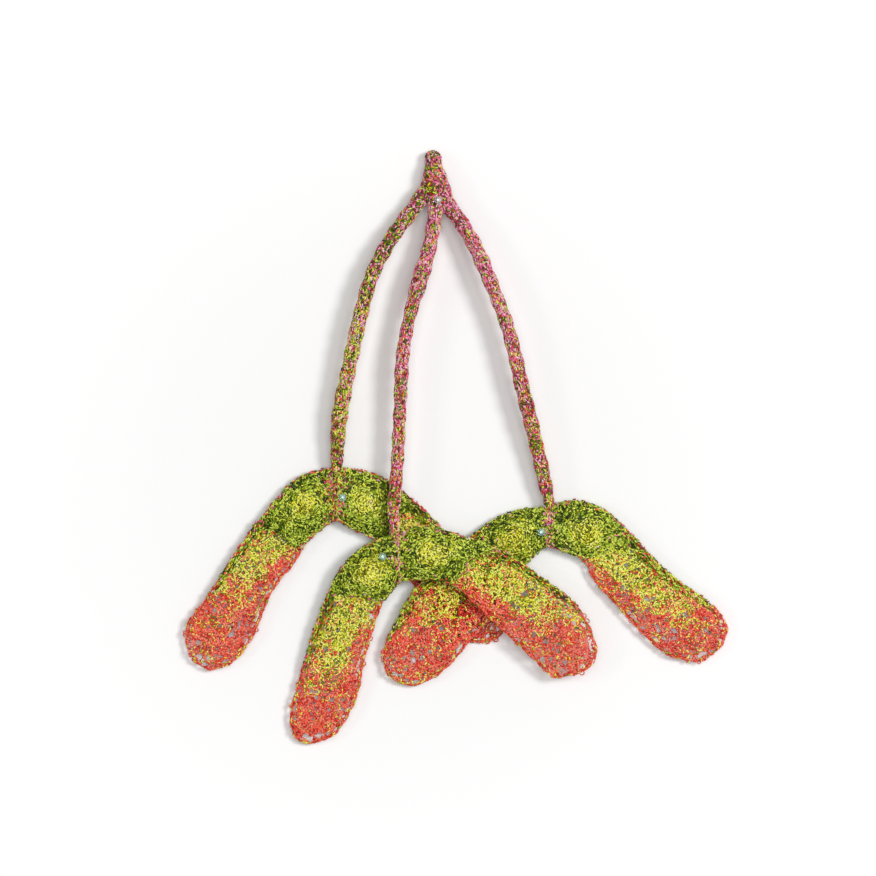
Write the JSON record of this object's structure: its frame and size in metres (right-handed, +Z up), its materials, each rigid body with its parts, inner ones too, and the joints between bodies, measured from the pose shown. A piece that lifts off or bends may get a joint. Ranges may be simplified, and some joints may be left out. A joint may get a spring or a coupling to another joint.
{
  "type": "embroidered maple samara cluster",
  "caption": "Textile cluster of winged maple seeds: padded green stitched pods with coral thread-lace wings, hung from a forked stitched cord stalk, lying flat with glass-headed pins.",
  "frame": {"origin": "middle of the outline on the surface that the cluster lies on", "axes": "+Z up from the surface, +Y towards the cut end of the stalk, +X to the viewer's right looking down"},
  "size_m": [0.1327, 0.1457, 0.0089],
  "materials": {
    "thread_pink": "satin rayon thread, pink with olive",
    "thread_green": "satin rayon thread, leaf green with yellow green",
    "thread_coral": "satin rayon thread lace, coral with yellow green",
    "glass_head": "clear polished glass bead on a thin steel shank"
  },
  "bodies": {
    "root": {"stalk": "thread_pink", "pod_left_outer": "thread_green", "pod_left_inner": "thread_green", "pod_middle_outer": "thread_green", "pod_middle_inner": "thread_green", "pod_right_inner": "thread_green", "pod_right_outer": "thread_green", "wing_left_outer": "thread_coral", "wing_left_inner": "thread_coral", "wing_middle_outer": "thread_coral", "wing_middle_inner": "thread_coral", "wing_right_inner": "thread_coral", "wing_right_outer": "thread_coral", "pin_fork": "glass_head", "pin_left": "glass_head", "pin_middle": "glass_head", "pin_right": "glass_head"}
  },
  "joints": []
}
